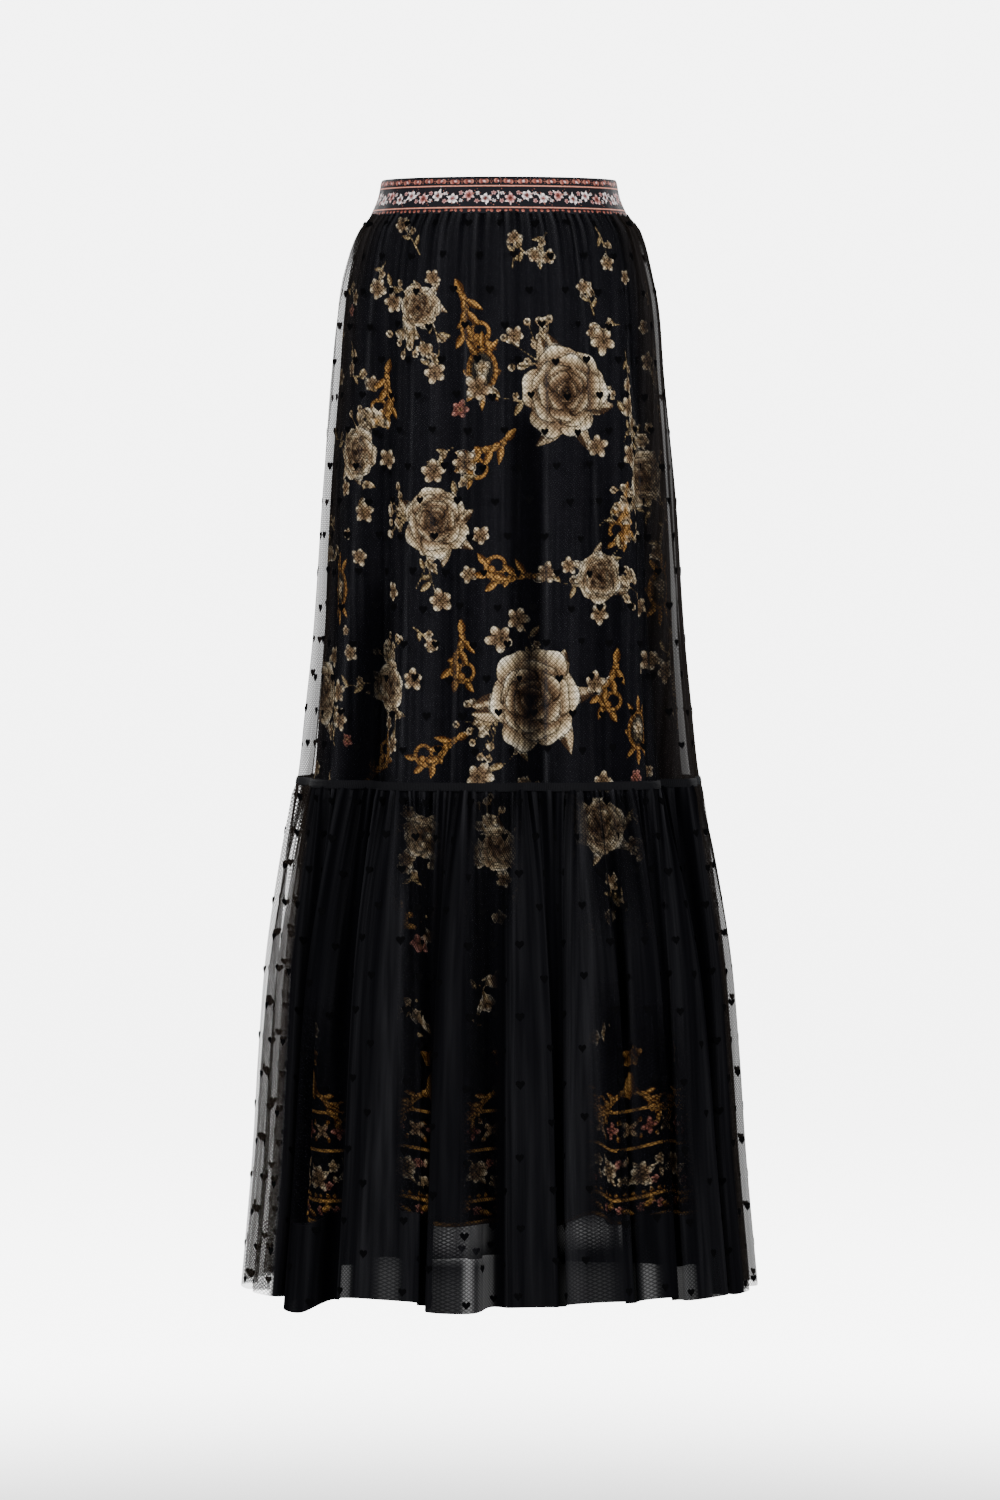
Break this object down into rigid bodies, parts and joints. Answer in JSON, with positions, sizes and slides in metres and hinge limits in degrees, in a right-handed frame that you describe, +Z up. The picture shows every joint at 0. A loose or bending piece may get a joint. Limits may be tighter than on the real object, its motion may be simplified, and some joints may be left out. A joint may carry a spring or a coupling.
{
  "type": "tiered maxi skirt with sheer net overlay, filled out as worn",
  "caption": "Long flared skirt, hollow as worn: shaped waistband, printed underskirt and a sheer net overlay in two gathered tiers with a tape at the join.",
  "frame": {"origin": "centre of the waist opening, half way up the waistband, where the wearer's waist holds the skirt", "axes": "+Z up, the front of the skirt towards -Y, +X to the right as seen from in front"},
  "size_m": [0.4986, 0.4237, 1.0712],
  "materials": {
    "printed_band": "woven satin band with a floral border print in coral, pink and white on black",
    "printed_underskirt": "smooth crepe with scattered cream and gold flowers and a border at the hem on black",
    "black_net": "fine soft see-through net with small flocked hearts",
    "black_tape": "flat matt woven tape"
  },
  "bodies": {
    "root": {"waistband_front_left": "printed_band", "waistband_front_right": "printed_band", "waistband_back_left": "printed_band", "waistband_back_right": "printed_band", "underskirt_front": "printed_underskirt", "underskirt_back": "printed_underskirt", "upper_tier_front": "black_net", "upper_tier_back": "black_net", "tier_tape_front": "black_tape", "tier_tape_back": "black_tape", "lower_tier_front": "black_net", "lower_tier_back": "black_net"}
  },
  "joints": []
}
